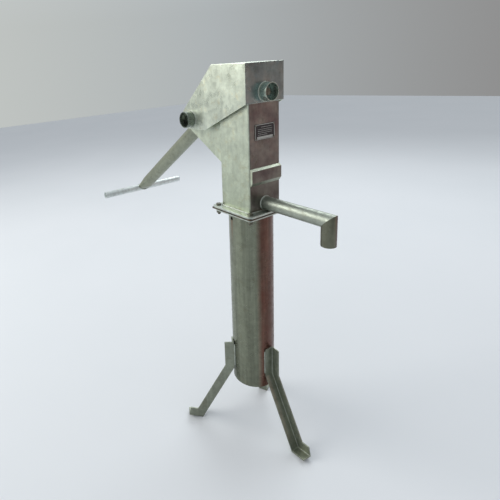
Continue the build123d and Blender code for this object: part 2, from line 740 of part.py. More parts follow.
# Rubber buffer on the floor: its top lies along the underside of the lever.


def under_lever(along):
    """Point just below the resting lever tube, a distance from the fulcrum."""
    below = Vector(-LEVER_DIR.Z, 0, LEVER_DIR.X) * (LEVER_R + BUFFER_GAP)
    point = FULCRUM + LEVER_DIR * along + below
    return (point.X, point.Z)


with BuildPart() as lever_buffer:
    with BuildSketch(Plane.XZ):
        with BuildLine():
            buffer_front = under_lever(BUFFER_START)
            buffer_rear = under_lever(BUFFER_END)
            Polyline(
                buffer_front,
                buffer_rear,
                (buffer_rear[0], floor_z(buffer_rear[0], FLOOR_LIFT + FLOOR_T)),
                (buffer_front[0], floor_z(buffer_front[0], FLOOR_LIFT + FLOOR_T)),
                close=True,
            )
        make_face()
    extrude(amount=BUFFER_HALF_WIDTH, both=True)
save(lever_buffer.part, "lever_buffer")

# ============================ Hanger and pump rod ===========================

with BuildPart() as hanger_pin:
    with BuildSketch(side_plane(HANGER_PIN.X, 0, HANGER_PIN.Z)):
        Circle(HANGER_PIN_R)
    extrude(amount=HANGER_PIN_HALF, both=True)
    chamfer(hanger_pin.edges().group_by(Axis.Y)[0], length=PIN_CHAMFER)
    chamfer(hanger_pin.edges().group_by(Axis.Y)[-1], length=PIN_CHAMFER)
save(hanger_pin.part, "hanger_pin")

with BuildPart() as hanger_nuts:
    for side in BOTH_ENDS.values():
        nut_y = side * (FORK_INNER_Y + FORK_T)
        with BuildSketch(side_plane(HANGER_PIN.X, nut_y, HANGER_PIN.Z)):
            RegularPolygon(M20_AF / 2, 6, major_radius=False)
            Circle(HANGER_PIN_R, mode=Mode.SUBTRACT)
        extrude(amount=-side * M20_NUT)
save(hanger_nuts.part, "hanger_nuts")

with BuildPart() as hanger_spacer:
    with BuildSketch(side_plane(HANGER_PIN.X, 0, HANGER_PIN.Z)):
        Circle(HANGER_SPACER_R)
        Circle(HANGER_PIN_R, mode=Mode.SUBTRACT)
    extrude(amount=FORK_INNER_Y, both=True)
save(hanger_spacer.part, "hanger_spacer")

with BuildPart() as hanger_bush:
    with BuildSketch(side_plane(HANGER_PIN.X, 0, HANGER_PIN.Z)):
        Circle(HANGER_BUSH_R)
        Circle(HANGER_SPACER_R + RUNNING_CLEARANCE, mode=Mode.SUBTRACT)
    extrude(amount=HANGER_BUSH_HALF, both=True)
save(hanger_bush.part, "hanger_bush")

ROD_TOP_Z = HANGER_PIN.Z - HANGER_DROP + ROD_ENGAGEMENT

with BuildPart() as rod_hanger:
    with BuildSketch(side_plane(HANGER_PIN.X, 0, HANGER_PIN.Z)):
        Circle(HANGER_BOSS_R)
    extrude(amount=HANGER_BOSS_HALF, both=True)
    with BuildSketch(Plane.XY.offset(HANGER_PIN.Z - HANGER_DROP)):
        with Locations((HANGER_PIN.X, 0)):
            Circle(HANGER_NECK_R)
    extrude(amount=HANGER_DROP)
    with BuildSketch(side_plane(HANGER_PIN.X, 0, HANGER_PIN.Z)):
        Circle(HANGER_BUSH_R)
    extrude(amount=HANGER_BOSS_HALF, both=True, mode=Mode.SUBTRACT)
    with BuildSketch(Plane.XY.offset(HANGER_PIN.Z - HANGER_DROP)):
        with Locations((HANGER_PIN.X, 0)):
            Circle(ROD_R)
    extrude(amount=ROD_ENGAGEMENT, mode=Mode.SUBTRACT)
save(rod_hanger.part, "rod_hanger")

with BuildPart() as pump_rod:
    with BuildSketch(Plane.XY.offset(ROD_TOP_Z - ROD_LENGTH)):
        with Locations((HANGER_PIN.X, 0)):
            Circle(ROD_END_R)
    extrude(amount=ROD_END_LENGTH)
    with BuildSketch(Plane.XY.offset(ROD_TOP_Z - ROD_LENGTH + ROD_END_LENGTH)):
        with Locations((HANGER_PIN.X, 0)):
            Circle(ROD_R)
    extrude(amount=ROD_LENGTH - ROD_END_LENGTH)
save(pump_rod.part, "pump_rod")

with BuildPart() as rod_lock_nut:
    with BuildSketch(Plane.XY.offset(HANGER_PIN.Z - HANGER_DROP - M12_NUT)):
        with Locations((HANGER_PIN.X, 0)):
            RegularPolygon(M12_AF / 2, 6, major_radius=False)
            Circle(ROD_R, mode=Mode.SUBTRACT)
    extrude(amount=M12_NUT)
save(rod_lock_nut.part, "rod_lock_nut")
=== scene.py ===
"""Looks, light and camera for the deep-well lever hand pump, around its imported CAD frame."""

import json
import math
import random

import bpy
from mathutils import Matrix, Vector


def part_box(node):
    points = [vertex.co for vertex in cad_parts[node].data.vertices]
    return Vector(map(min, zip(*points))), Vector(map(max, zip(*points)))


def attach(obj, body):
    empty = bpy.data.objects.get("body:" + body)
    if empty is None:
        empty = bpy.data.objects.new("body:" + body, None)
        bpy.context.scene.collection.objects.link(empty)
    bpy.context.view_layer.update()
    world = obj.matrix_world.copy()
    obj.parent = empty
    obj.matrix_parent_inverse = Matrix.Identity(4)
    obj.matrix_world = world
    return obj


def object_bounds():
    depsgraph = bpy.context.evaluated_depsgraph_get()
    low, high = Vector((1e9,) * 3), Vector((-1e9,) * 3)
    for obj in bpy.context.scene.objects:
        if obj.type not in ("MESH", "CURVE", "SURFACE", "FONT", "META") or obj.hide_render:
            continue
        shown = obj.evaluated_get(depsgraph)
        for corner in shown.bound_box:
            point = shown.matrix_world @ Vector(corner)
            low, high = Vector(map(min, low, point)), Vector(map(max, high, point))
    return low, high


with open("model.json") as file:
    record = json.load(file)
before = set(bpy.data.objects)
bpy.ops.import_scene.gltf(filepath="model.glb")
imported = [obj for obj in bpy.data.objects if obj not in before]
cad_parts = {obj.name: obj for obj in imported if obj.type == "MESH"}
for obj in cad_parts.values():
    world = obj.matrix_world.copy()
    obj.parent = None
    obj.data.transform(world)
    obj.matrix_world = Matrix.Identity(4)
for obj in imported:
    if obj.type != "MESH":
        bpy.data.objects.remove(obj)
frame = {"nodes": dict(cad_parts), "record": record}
cad_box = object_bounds()
nodes = frame["nodes"]
scene = bpy.context.scene
random.seed(7)

# ---------------------------------------------------------------- node helpers


class Maker:
    """A material's node tree with short calls for the nodes that the finishes share."""

    def __init__(self, name):
        self.material = bpy.data.materials.new(name)
        self.material.use_nodes = True
        self.tree = self.material.node_tree
        self.shader = self.tree.nodes["Principled BSDF"]
        self.place = self.tree.nodes.new("ShaderNodeTexCoord").outputs["Object"]

    def link(self, value, socket):
        if hasattr(value, "is_output"):
            self.tree.links.new(value, socket)
        else:
            socket.default_value = value

    def math(self, operation, a, b=0.0, c=0.0, clamp=False):
        node = self.tree.nodes.new("ShaderNodeMath")
        node.operation = operation
        node.use_clamp = clamp
        for value, socket in zip((a, b, c), node.inputs):
            self.link(value, socket)
        return node.outputs[0]

    def stretch(self, scale, offset=(0, 0, 0)):
        node = self.tree.nodes.new("ShaderNodeMapping")
        self.link(self.place, node.inputs["Vector"])
        node.inputs["Scale"].default_value = scale
        node.inputs["Location"].default_value = offset
        return node.outputs[0]

    def noise(self, scale, detail=4.0, rough=0.55, vector=None, distort=0.0):
        node = self.tree.nodes.new("ShaderNodeTexNoise")
        self.link(self.place if vector is None else vector, node.inputs["Vector"])
        node.inputs["Scale"].default_value = scale
        node.inputs["Detail"].default_value = detail
        node.inputs["Roughness"].default_value = rough
        node.inputs["Distortion"].default_value = distort
        return node.outputs["Fac"]

    def cells(self, scale, vector=None, feature="F1"):
        node = self.tree.nodes.new("ShaderNodeTexVoronoi")
        node.feature = feature
        self.link(self.place if vector is None else vector, node.inputs["Vector"])
        node.inputs["Scale"].default_value = scale
        return node

    def wobbled(self, amount, scale):
        """The object's own place, pushed about by noise, so that cells aren't regular."""
        node = self.tree.nodes.new("ShaderNodeTexNoise")
        self.link(self.place, node.inputs["Vector"])
        node.inputs["Scale"].default_value = scale
        shift = self.tree.nodes.new("ShaderNodeVectorMath")
        shift.operation = "MULTIPLY_ADD"
        self.link(node.outputs["Color"], shift.inputs[0])
        shift.inputs[1].default_value = (amount, amount, amount)
        self.link(self.place, shift.inputs[2])
        return shift.outputs[0]

    def ramp(self, value, stops):
        node = self.tree.nodes.new("ShaderNodeValToRGB")
        self.link(value, node.inputs[0])
        band = node.color_ramp
        while len(band.elements) < len(stops):
            band.elements.new(0.5)
        for element, (at, grey) in zip(band.elements, stops):
            element.position = at
            element.color = (grey, grey, grey, 1) if isinstance(grey, (int, float)) else (*grey, 1)
        return node.outputs[0]

    def mix(self, factor, a, b, blend="MIX"):
        node = self.tree.nodes.new("ShaderNodeMix")
        node.data_type = "RGBA"
        node.blend_type = blend
        self.link(factor, node.inputs[0])
        for value, socket in ((a, node.inputs[6]), (b, node.inputs[7])):
            self.link((*value, 1) if isinstance(value, tuple) else value, socket)
        return node.outputs[2]

    def axis(self, index, source=None):
        node = self.tree.nodes.new("ShaderNodeSeparateXYZ")
        self.link(self.place if source is None else source, node.inputs[0])
        return node.outputs[index]

    def facing(self, direction):
        """1 where the surface faces a direction of the object, 0 where it faces away."""
        normal = self.tree.nodes.new("ShaderNodeTexCoord").outputs["Normal"]
        node = self.tree.nodes.new("ShaderNodeVectorMath")
        node.operation = "DOT_PRODUCT"
        self.link(normal, node.inputs[0])
        node.inputs[1].default_value = Vector(direction).normalized()
        return node.outputs["Value"]

    def bump(self, height, distance, strength=1.0, below=None):
        node = self.tree.nodes.new("ShaderNodeBump")
        node.inputs["Distance"].default_value = distance
        node.inputs["Strength"].default_value = strength
        self.link(height, node.inputs["Height"])
        if below is not None:
            self.link(below, node.inputs["Normal"])
        return node.outputs[0]

    def done(self, colour, roughness, normal=None, metallic=None, **values):
        self.link(colour, self.shader.inputs["Base Color"])
        self.link(roughness, self.shader.inputs["Roughness"])
        if normal is not None:
            self.link(normal, self.shader.inputs["Normal"])
        if metallic is not None:
            self.link(metallic, self.shader.inputs["Metallic"])
        for key, value in values.items():
            self.shader.inputs[key.replace("_", " ")].default_value = value
        return self.material


# ------------------------------------------------------------------- finishes
# Noise scales are per metre: the larger the scale, the finer the marks.
BLOTCH_SCALE, CLOUD_SCALE, PATCH_SCALE, SPECK_SCALE = 9.0, 46.0, 33.0, 240.0
WAVE_SCALE, GRAIN_SCALE, WOBBLE_SCALE, VEIL_SCALE = 11.0, 160.0, 22.0, 14.0
RUN_STRETCH = (70.0, 70.0, 3.0)
TAN_TINT, SPECK_TINT = (0.80, 0.71, 0.60), (0.5, 0.5, 0.5)
RUST = (0.20, 0.115, 0.055)


def galvanised(name, colour, rough=0.34, spangle=0.10, cell=70.0, stain=0.35, mottle=0.16,
               streak=0.10, painted_side_shade=None, low=None, rust_under=None, metallic=0.85):
    """Hot-dip zinc: crystal patches, dull blotches, tan stains, runs and a soft waviness.

    The side mask takes a direction, the mask's two cosines and the darker colour painted on the side
    facing that way: painted shade and painted reflection of a dim surround.
    rust_under is a direction, and the height and depth of a rust trail there.
    """
    m = Maker(name)
    crystals = m.cells(cell, m.wobbled(0.012, WOBBLE_SCALE))
    tone = m.ramp(m.axis(0, crystals.outputs["Color"]), [(0.0, 1.0 - spangle), (1.0, 1.0)])
    blotch = m.noise(BLOTCH_SCALE, 5.0, 0.6, distort=0.6)
    soft = m.ramp(blotch, [(0.3, 1.0 - mottle), (0.5, 1.0 - 0.3 * mottle), (0.7, 1.0)])
    fine = m.noise(CLOUD_SCALE, 6.0, 0.7, distort=0.5)
    cloud = m.ramp(fine, [(0.32, 1.0 - 1.1 * mottle), (0.66, 1.0)])
    weathered = m.mix(1.0, m.mix(1.0, tone, soft, "MULTIPLY"), cloud, "MULTIPLY")
    base = m.mix(1.0, colour, weathered, "MULTIPLY")
    # Painted shade and painted reflection: surfaces facing the given way are darkened, in patches,
    # towards the painted side colour.
    if painted_side_shade is not None:
        way, start, full, shaded_side_colour = painted_side_shade
        ahead = m.ramp(m.facing(way), [(start, 0.0), (full, 1.0)])
        cover = m.ramp(m.noise(VEIL_SCALE, 4.0), [(0.3, 0.75), (0.7, 1.0)])
        painted_shade_veil = m.math("MULTIPLY", ahead, cover)
        base = m.mix(painted_shade_veil, base, m.mix(1.0, shaded_side_colour, weathered, "MULTIPLY"))
    # Darker towards the bottom: painted shade, with some dust.
    if low is not None:
        height, depth, shade = low
        down = m.math("DIVIDE", m.math("SUBTRACT", height, m.axis(2)), depth, clamp=True)
        base = m.mix(down, base, m.mix(1.0, base, shade, "MULTIPLY"))
    patches = m.noise(PATCH_SCALE, 6.0, 0.65, distort=0.3)
    tan = m.math("MULTIPLY", m.ramp(patches, [(0.54, 0.0), (0.68, 1.0)]), stain)
    base = m.mix(tan, base, m.mix(1.0, base, TAN_TINT, "MULTIPLY"))
    runs = m.noise(1.0, 3.0, 0.5, m.stretch(RUN_STRETCH))
    base = m.mix(1.0, base, m.ramp(runs, [(0.35, 1.0 - streak), (0.62, 1.0)]), "MULTIPLY")
    speck = m.ramp(m.noise(SPECK_SCALE, 2.0), [(0.66, 0.0), (0.74, 0.35)])
    base = m.mix(speck, base, m.mix(1.0, base, SPECK_TINT, "MULTIPLY"))
    if rust_under is not None:
        way, height, depth = rust_under
        line = m.ramp(m.facing(way), [(0.9955, 0.0), (0.9995, 0.75)])
        fade = m.math("DIVIDE", m.math("SUBTRACT", m.axis(2), height - depth), depth, clamp=True)
        below = m.math("LESS_THAN", m.axis(2), height)
        trail = m.math("MULTIPLY", m.math("MULTIPLY", line, fade), below)
        base = m.mix(trail, base, RUST)
    dull = m.math("MULTIPLY_ADD", m.axis(1, crystals.outputs["Color"]), 0.12, rough - 0.05)
    dull = m.math("MULTIPLY_ADD", blotch, 0.16, m.math("SUBTRACT", dull, 0.07))
    dull = m.math("MULTIPLY_ADD", tan, 0.25, dull, clamp=True)
    waves = m.bump(m.noise(WAVE_SCALE, 2.0, 0.4), 0.004, 0.22)
    grain = m.bump(m.noise(GRAIN_SCALE, 5.0, 0.6), 0.0006, 0.35, waves)
    ridges = m.bump(crystals.outputs["Distance"], 0.0012, 0.15, grain)
    drips = m.bump(runs, 0.0015, 0.18, ridges)
    return m.done(base, dull, drips, metallic)


FRONT, FAR_FRONT = (1, 0, 0), (0.766, 0.643, 0)
# Sheet zinc with painted shade: the front faces are painted a dark red-brown, and the lower sheet is
# darkened, painted shade with some dust.
zinc_sheet_and_painted_shade = galvanised(
    "zinc_sheet_and_painted_shade", (0.76, 0.82, 0.67), 0.36, 0.10, 62.0, 0.50, 0.16,
    painted_side_shade=(FRONT, 0.70, 0.92, (0.165, 0.128, 0.122)), low=(1.05, 0.34, (0.67, 0.69, 0.64)),
)
# Cover zinc with painted shade: its front faces are painted a dark blue-grey.
zinc_cover_and_painted_shade = galvanised(
    "zinc_cover_and_painted_shade", (0.84, 0.90, 0.76), 0.30, 0.10, 58.0, 0.65, 0.17,
    painted_side_shade=(FRONT, 0.70, 0.92, (0.24, 0.32, 0.325)),
)
zinc_pipe = galvanised("zinc_pipe", (0.42, 0.455, 0.39), 0.42, 0.12, 95.0, 0.35)
# Stand tube zinc with a real rust trail, and painted light: the side facing forward and towards +Y is
# painted red-brown as a painted reflection, and the tube is darker towards the bottom.
zinc_tube_and_painted_shade = galvanised(
    "zinc_tube_and_painted_shade", (0.285, 0.305, 0.23), 0.30, 0.10, 75.0, 0.30, 0.16, 0.30,
    painted_side_shade=(FAR_FRONT, 0.28, 0.52, (0.20, 0.080, 0.058)), low=(0.72, 0.9, (0.86, 0.86, 0.84)),
    rust_under=((-0.208, -0.978, 0.0), 0.707, 0.10),
)
# Nozzle zinc darkened as painted shade, with its side facing forward and towards +Y painted red-brown as
# a painted reflection.
zinc_nozzle_painted_shade = galvanised(
    "zinc_nozzle_painted_shade", (0.205, 0.21, 0.155), 0.34, 0.10, 95.0, 0.30, 0.14, 0.16,
    painted_side_shade=(FAR_FRONT, 0.62, 0.92, (0.15, 0.085, 0.07)),
)
zinc_lever = galvanised("zinc_lever", (0.35, 0.37, 0.285), 0.36, 0.10, 90.0, 0.30)
# Painted light: the cross bar's zinc is made pale and less metallic than the other pipe zinc, standing
# in for its brightly lit top.
zinc_bar_painted_light = galvanised("zinc_bar_painted_light", (0.86, 0.92, 0.90), 0.34, 0.10, 90.0, 0.25, metallic=0.4)
# Painted light: the flanges' zinc is paler than the other plate zinc, standing in for their brightly lit
# tops.
zinc_flange_painted_light = galvanised("zinc_flange_painted_light", (0.62, 0.67, 0.60), 0.36, 0.12, 85.0, 0.45)
zinc_plate = galvanised("zinc_plate", (0.345, 0.37, 0.295), 0.36, 0.12, 85.0, 0.45, 0.18, 0.16)
# One guard zinc in two copies: the side guards' dark copy is painted shade and the front guard's pale
# green copy is painted light.
zinc_guard_painted_shade = galvanised("zinc_guard_painted_shade", (0.24, 0.275, 0.235), 0.28, 0.08, 110.0, 0.30)
zinc_front_guard_painted_light = galvanised("zinc_front_guard_painted_light", (0.52, 0.61, 0.53), 0.28, 0.08, 110.0, 0.30)


def fastener_finish():
    """Dull plated bolts with dark patches, a worn, brighter skin and specks of rust."""
    m = Maker("bolt_steel")
    worn = m.noise(90.0, 5.0, 0.6)
    base = m.mix(m.ramp(worn, [(0.4, 0.0), (0.62, 1.0)]), (0.10, 0.095, 0.07), (0.26, 0.26, 0.21))
    rust = m.ramp(m.noise(160.0, 4.0, 0.7), [(0.60, 0.0), (0.72, 0.7)])
    base = m.mix(rust, base, (0.16, 0.075, 0.035))
    rough = m.math("MULTIPLY_ADD", worn, 0.35, 0.30)
    normal = m.bump(m.noise(420.0, 4.0), 0.0004, 0.4)
    return m.done(base, rough, normal, 0.8)


def plate_edge_finish():
    """The middle plate: bare dark steel with brown rust, under the pale flanges."""
    m = Maker("dark_plate")
    patch = m.noise(40.0, 6.0, 0.65)
    base = m.mix(m.ramp(patch, [(0.4, 0.0), (0.65, 1.0)]), (0.035, 0.033, 0.028), (0.11, 0.075, 0.045))
    rough = m.math("MULTIPLY_ADD", patch, 0.3, 0.45)
    return m.done(base, rough, m.bump(m.noise(260.0, 5.0), 0.0006, 0.5), 0.55)


def bright_steel_finish():
    """Turned steel with fine rings, for the pins and the pump rod."""
    m = Maker("bright_steel")
    rings = m.noise(1.0, 3.0, 0.6, m.stretch((30.0, 900.0, 900.0)))
    film = m.noise(60.0, 4.0)
    base = m.mix(m.ramp(film, [(0.45, 0.0), (0.7, 0.6)]), (0.60, 0.60, 0.58), (0.34, 0.30, 0.24))
    rough = m.math("MULTIPLY_ADD", rings, 0.16, 0.18)
    return m.done(base, rough, m.bump(rings, 0.0002, 0.3), 1.0)


def plastic_finish(name, colour, dark, rough):
    """Moulded or drawn plastic: faint cloud, fine scratches and dust."""
    m = Maker(name)
    cloud = m.noise(18.0, 4.0)
    base = m.mix(cloud, dark, colour)
    dust = m.ramp(m.noise(45.0, 6.0, 0.7), [(0.55, 0.0), (0.75, 0.35)])
    base = m.mix(dust, base, (0.42, 0.40, 0.35))
    scratch = m.noise(1.0, 4.0, 0.7, m.stretch((220.0, 220.0, 12.0)))
    dull = m.math("MULTIPLY_ADD", scratch, 0.2, rough - 0.1)
    normal = m.bump(scratch, 0.0003, 0.25, m.bump(m.noise(500.0, 2.0), 0.0002, 0.3))
    return m.done(base, dull, normal, 0.0)


def rubber_finish():
    """Black rubber, greyed by dust and bloom, with a moulded grain."""
    m = Maker("black_rubber")
    bloom = m.noise(30.0, 5.0, 0.65)
    base = m.mix(m.ramp(bloom, [(0.45, 0.0), (0.75, 0.6)]), (0.018, 0.018, 0.018), (0.10, 0.095, 0.085))
    rough = m.math("MULTIPLY_ADD", bloom, 0.25, 0.60)
    return m.done(base, rough, m.bump(m.noise(700.0, 3.0), 0.0004, 0.5), 0.0)


def name_plate_finish():
    """Black stove enamel, chipped a little and dusty."""
    m = Maker("plate_enamel")
    dust = m.noise(70.0, 5.0, 0.7)
    base = m.mix(m.ramp(dust, [(0.5, 0.0), (0.8, 0.5)]), (0.010, 0.010, 0.011), (0.05, 0.047, 0.044))
    chips = m.ramp(m.noise(380.0, 3.0), [(0.72, 0.0), (0.76, 1.0)])
    base = m.mix(chips, base, (0.40, 0.40, 0.38))
    rough = m.math("MULTIPLY_ADD", dust, 0.3, 0.25)
    return m.done(base, rough, m.bump(dust, 0.0003, 0.2), 0.0)


def bare_metal_finish():
    """Rubbed bare metal of the name plate's raised rim and rules."""
    m = Maker("plate_metal")
    wear = m.noise(300.0, 4.0, 0.7)
    base = m.mix(wear, (0.34, 0.35, 0.32), (0.54, 0.55, 0.51))
    rough = m.math("MULTIPLY_ADD", wear, 0.3, 0.30)
    return m.done(base, rough, m.bump(wear, 0.0001, 0.2), 0.2)


weld_zinc = galvanised("weld_zinc", (0.55, 0.59, 0.52), 0.36, 0.14, 240.0, 0.30)
plate_metal = bare_metal_finish()
bolt_steel = fastener_finish()
dark_plate = plate_edge_finish()
bright_steel = bright_steel_finish()
bearing_plastic = plastic_finish("bearing_plastic", (0.62, 0.60, 0.52), (0.50, 0.48, 0.40), 0.45)
riser_plastic = plastic_finish("riser_plastic", (0.30, 0.36, 0.42), (0.22, 0.27, 0.33), 0.40)
black_rubber = rubber_finish()
plate_enamel = name_plate_finish()

FINISH = {
    "galvanised_sheet": zinc_sheet_and_painted_shade,
    "galvanised_cover": zinc_cover_and_painted_shade,
    "galvanised_pipe": zinc_pipe,
    "galvanised_lever": zinc_lever,
    "galvanised_plate": zinc_plate,
    "fasteners": bolt_steel,
    "bright_steel": bright_steel,
    "bearing_plastic": bearing_plastic,
    "rubber": black_rubber,
    "riser_plastic": riser_plastic,
    "name_plate": plate_enamel,
}
OWN_FINISH = {
    "stand_tube": zinc_tube_and_painted_shade,
    "spout_nozzle": zinc_nozzle_painted_shade,
    "cross_bar": zinc_bar_painted_light,
    "head_flange": zinc_flange_painted_light,
    "stand_flange": zinc_flange_painted_light,
    "cone_plate": dark_plate,
    "nut_guard_right": zinc_guard_painted_shade,
    "nut_guard_left": zinc_guard_painted_shade,
    "bolt_guard": zinc_front_guard_painted_light,
}
for entry in frame["record"]["subparts"]:
    piece = nodes[entry["node"]]
    piece.data.materials.clear()
    piece.data.materials.append(OWN_FINISH.get(entry["node"], FINISH[entry["material_slot"]]))

# ------------------------------------------------------------------ soft edges
# Rolled, sheared and hammered edges are never knife sharp.
EDGE_ROUND = {
    "stand_flange": 0.0010, "cone_plate": 0.0008, "head_flange": 0.0012, "leg_front": 0.0012,
    "leg_left": 0.0012, "leg_right": 0.0012, "wing_right": 0.0008, "wing_left": 0.0008,
    "front_hood": 0.0012, "cover_shell": 0.0012, "flange_bolts": 0.0007, "flange_nuts": 0.0007,
    "flange_washers": 0.0004, "fulcrum_nuts": 0.0010, "hanger_nuts": 0.0010, "cover_bolt": 0.0010,
    "cover_nut": 0.0010, "rod_lock_nut": 0.0007, "fork_arm_right": 0.0010, "fork_arm_left": 0.0010,
    "name_plate": 0.0003, "nut_guard_right": 0.0006, "nut_guard_left": 0.0006, "bolt_guard": 0.0006,
    "spout_nozzle": 0.0006, "cross_bar": 0.0008,
}
SHARP = math.radians(38)
for node_name, width in EDGE_ROUND.items():
    piece = nodes[node_name]
    merge = piece.modifiers.new("merge", "WELD")
    merge.merge_threshold = 0.00002
    round_off = piece.modifiers.new("round", "BEVEL")
    round_off.width = width
    round_off.segments = 2
    round_off.limit_method = "ANGLE"
    round_off.angle_limit = SHARP
    round_off.use_clamp_overlap = True
    round_off.harden_normals = False

# ----------------------------------------------------------------- weld beads
BEAD_SIDES = 10
BEAD_STEP = 0.0012
RING_POINTS = 72
HAIR = 0.0004
WELD_LARGE, WELD_MEDIUM, WELD_SMALL = 0.0034, 0.0030, 0.0026
SEAM_RIPPLE, RUN_RIPPLE = 0.0042, 0.011


def resampled(points, closed):
    """Points a bead's step apart along a path."""
    loop = points + [points[0]] if closed else points
    lengths = [(b - a).length for a, b in zip(loop, loop[1:])]
    count = max(8, int(sum(lengths) / BEAD_STEP))
    result, walked, index = [], 0.0, 0
    for step in range(count if closed else count + 1):
        target = sum(lengths) * step / count
        while index < len(lengths) - 1 and walked + lengths[index] < target:
            walked += lengths[index]
            index += 1
        share = (target - walked) / lengths[index] if lengths[index] else 0.0
        result.append(loop[index].lerp(loop[index + 1], min(1.0, share)))
    return result


def bead(name, points, radius, body, closed=False, ripple=SEAM_RIPPLE):
    """A weld bead: a rippled round run of metal along a path, half sunk in the corner."""
    path = resampled(points, closed)
    count = len(path)
    verts, faces = [], []
    side = None
    drift = random.random() * 6.0
    for i, spot in enumerate(path):
        ahead_spot = path[(i + 1) % count] if closed or i < count - 1 else spot
        behind = path[i - 1] if closed or i else spot
        along = (ahead_spot - behind).normalized()
        if side is None:
            side = along.cross(Vector((0.31, 0.52, 0.79))).normalized()
        side = (side - along * side.dot(along)).normalized()
        other = along.cross(side)
        travel = i * BEAD_STEP
        swell = 1.0 + 0.13 * abs(math.sin(math.pi * travel / ripple + drift))
        swell += 0.07 * math.sin(travel * 310.0 + drift * 3.0) + 0.05 * random.uniform(-1, 1)
        if not closed:
            swell *= min(1.0, 0.45 + 0.18 * min(i, count - 1 - i))
        for k in range(BEAD_SIDES):
            turn = 2 * math.pi * k / BEAD_SIDES
            verts.append(spot + (side * math.cos(turn) + other * math.sin(turn)) * radius * swell)
    rings = count if closed else count - 1
    for i in range(rings):
        a, b = i * BEAD_SIDES, ((i + 1) % count) * BEAD_SIDES
        # A closed run may come back turned about its own line: find the nearest start.
        shift = 0
        if closed and i == rings - 1:
            shift = min(range(BEAD_SIDES), key=lambda k: (verts[b + k] - verts[a]).length)
        for k in range(BEAD_SIDES):
            n = (k + 1) % BEAD_SIDES
            faces.append((a + k, a + n, b + (n + shift) % BEAD_SIDES, b + (k + shift) % BEAD_SIDES))
    if not closed:
        faces.append(tuple(reversed(range(BEAD_SIDES))))
        faces.append(tuple(range((count - 1) * BEAD_SIDES, count * BEAD_SIDES)))
    run = bpy.data.meshes.new(name)
    run.from_pydata(verts, [], faces)
    run.polygons.foreach_set("use_smooth", [True] * len(run.polygons))
    run.update()
    piece = bpy.data.objects.new(name, run)
    scene.collection.objects.link(piece)
    piece.data.materials.append(weld_zinc)
    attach(piece, body)
    return piece


def ring(centre, axis, radius, count=RING_POINTS):
    """Points round a circle."""
    axis = Vector(axis).normalized()
    first = axis.orthogonal().normalized()
    second = axis.cross(first)
    turns = [2 * math.pi * k / count for k in range(count)]
    return [Vector(centre) + (first * math.cos(a) + second * math.sin(a)) * radius for a in turns]


def rounded_square(half, corner, z):
    """Points round a square with round corners, at height z."""
    points = []
    for quarter in range(4):
        for step in range(7):
            turn = math.pi / 2 * (quarter + step / 6)
            cx = (half - corner) * (1 if quarter in (0, 3) else -1)
            cy = (half - corner) * (1 if quarter in (0, 1) else -1)
            points.append(Vector((cx + corner * math.cos(turn), cy + corner * math.sin(turn), z)))
    return points


column_low, column_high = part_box("head_column")
_, tube_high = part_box("stand_tube")
flange_low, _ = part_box("stand_flange")
spout_low, spout_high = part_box("spout_pipe")
wing_low, wing_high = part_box("wing_right")
housing_low, housing_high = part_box("lever_housing")
bar_low, bar_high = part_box("cross_bar")
_, shell_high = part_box("cover_shell")
COLUMN_HALF = column_high.x
TUBE_R = tube_high.x
spout_r = spout_high.y
spout_mid = Vector((COLUMN_HALF, 0, (spout_low.z + spout_high.z) / 2))

STAND_OFF, PIPE_OFF = 0.0008, 0.0006
COLUMN_BEND, FOOT_WELD = 0.0078, 0.0032
foot_line = rounded_square(COLUMN_HALF + STAND_OFF, COLUMN_BEND, column_low.z + STAND_OFF)
bead("weld_column_foot", foot_line, FOOT_WELD, "stand", True)
bead("weld_spout", ring(spout_mid, (1, 0, 0), spout_r + PIPE_OFF), WELD_MEDIUM, "stand", True)
bead("weld_tube_top", ring((0, 0, flange_low.z - PIPE_OFF), (0, 0, 1), TUBE_R + PIPE_OFF),
     WELD_LARGE, "stand", True)
SEAM_START, SEAM_END, SEAM_WELD = 0.004, 0.002, 0.0024
for tag, side in (("right", -1), ("left", 1)):
    low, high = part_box("nut_guard_" + tag)
    middle = (low + high) / 2
    middle.y = side * shell_high.y
    bead("weld_guard_" + tag, ring(middle, (0, 1, 0), (high.x - low.x) / 2 + HAIR),
         WELD_SMALL, "cover", True)
    seam = Vector((-COLUMN_HALF - HAIR, side * (-wing_low.y + HAIR), 0))
    bead("weld_wing_" + tag,
         [seam + Vector((0, 0, wing_low.z + SEAM_START)),
          seam + Vector((0, 0, wing_high.z - SEAM_END))],
         SEAM_WELD, "stand")
low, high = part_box("bolt_guard")
bead("weld_bolt_guard", ring((low.x, 0, (low.z + high.z) / 2), (1, 0, 0), high.y + HAIR),
     WELD_SMALL, "cover", True)

# Legs: the angle's corner and edge are welded to the tube, and zinc has run down its root.
LEGS = {"front": (-4.0, 0.224), "left": (116.0, 0.135), "right": (-124.0, 0.224)}
LEG_CORNER, LEG_EDGE, LEG_T = 0.0255, -0.0125, 0.005
LEG_TOP_Z, LEG_BEND_Z, FOOT_Z, FOOT_LENGTH = 0.170, 0.050, -0.195, 0.060
FOOT_TILT = math.radians(12)
WELD_FOOT_Z, WELD_HEAD_Z = 0.060, 0.160
RUN_SIZE, RUN_LIFT = 0.0013, 0.0002
LEG_WELDS = (
    ("corner", LEG_CORNER + HAIR, 0.0018, WELD_MEDIUM),
    ("edge", LEG_EDGE - STAND_OFF, 0.0012, 0.0022),
)


